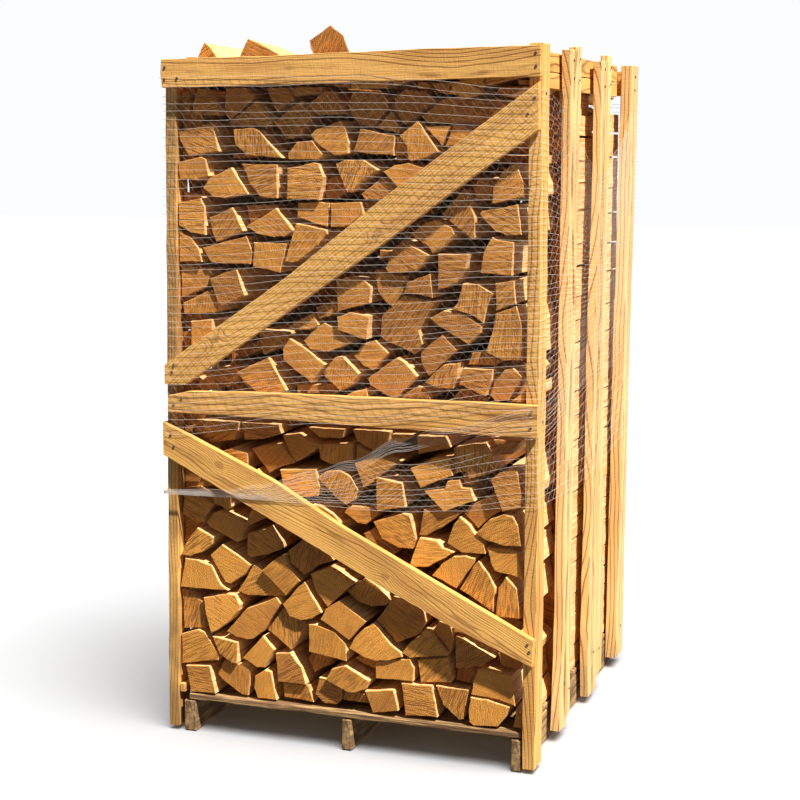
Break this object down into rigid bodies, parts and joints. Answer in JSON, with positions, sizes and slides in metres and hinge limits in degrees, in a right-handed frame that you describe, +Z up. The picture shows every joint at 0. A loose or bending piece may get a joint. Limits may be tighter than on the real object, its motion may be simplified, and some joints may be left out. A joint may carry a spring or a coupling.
{
  "type": "firewood crate",
  "caption": "Upright slatted softwood crate on runners, packed with stacked split beech logs, with rails and diagonal braces front and back and a stretch net round it.",
  "frame": {"origin": "on the ground under the middle of the outer box", "axes": "+Z up; -Y is the front, where the log ends, rails and braces show; +X is the right-hand slatted wall"},
  "size_m": [1.0574, 1.1024, 1.873],
  "materials": {
    "sawn_softwood": "rough sawn, unfinished",
    "deck_softwood": "rough sawn, weathered, bark left on edges",
    "split_beech": "split and sawn ends, dry",
    "net_thread": "knitted polyethylene thread"
  },
  "bodies": {
    "root": {"runner_left": "deck_softwood", "runner_middle": "deck_softwood", "runner_right": "deck_softwood", "deck_board_1": "deck_softwood", "deck_board_2": "deck_softwood", "deck_board_3": "deck_softwood", "deck_board_4": "deck_softwood", "deck_board_5": "deck_softwood", "deck_board_6": "deck_softwood", "post_front_right": "sawn_softwood", "upright_front_wide_right": "sawn_softwood", "upright_front_narrow_right": "sawn_softwood", "upright_rear_wide_right": "sawn_softwood", "upright_rear_narrow_right": "sawn_softwood", "post_back_right": "sawn_softwood", "post_front_left": "sawn_softwood", "upright_front_wide_left": "sawn_softwood", "upright_front_narrow_left": "sawn_softwood", "upright_rear_wide_left": "sawn_softwood", "upright_rear_narrow_left": "sawn_softwood", "post_back_left": "sawn_softwood", "rail_top_front": "sawn_softwood", "rail_middle_front": "sawn_softwood", "brace_upper_front": "sawn_softwood", "brace_lower_front": "sawn_softwood", "rail_top_back": "sawn_softwood", "rail_middle_back": "sawn_softwood", "brace_upper_back": "sawn_softwood", "brace_lower_back": "sawn_softwood", "side_rail_lower_right": "sawn_softwood", "side_rail_upper_right": "sawn_softwood", "side_rail_lower_left": "sawn_softwood", "side_rail_upper_left": "sawn_softwood", "foot_strip": "sawn_softwood", "firewood_row_front": "split_beech", "firewood_row_middle": "split_beech", "firewood_row_back": "split_beech", "loose_log_left": "split_beech", "loose_log_middle": "split_beech", "loose_log_square": "split_beech", "stretch_net": "net_thread"}
  },
  "joints": []
}
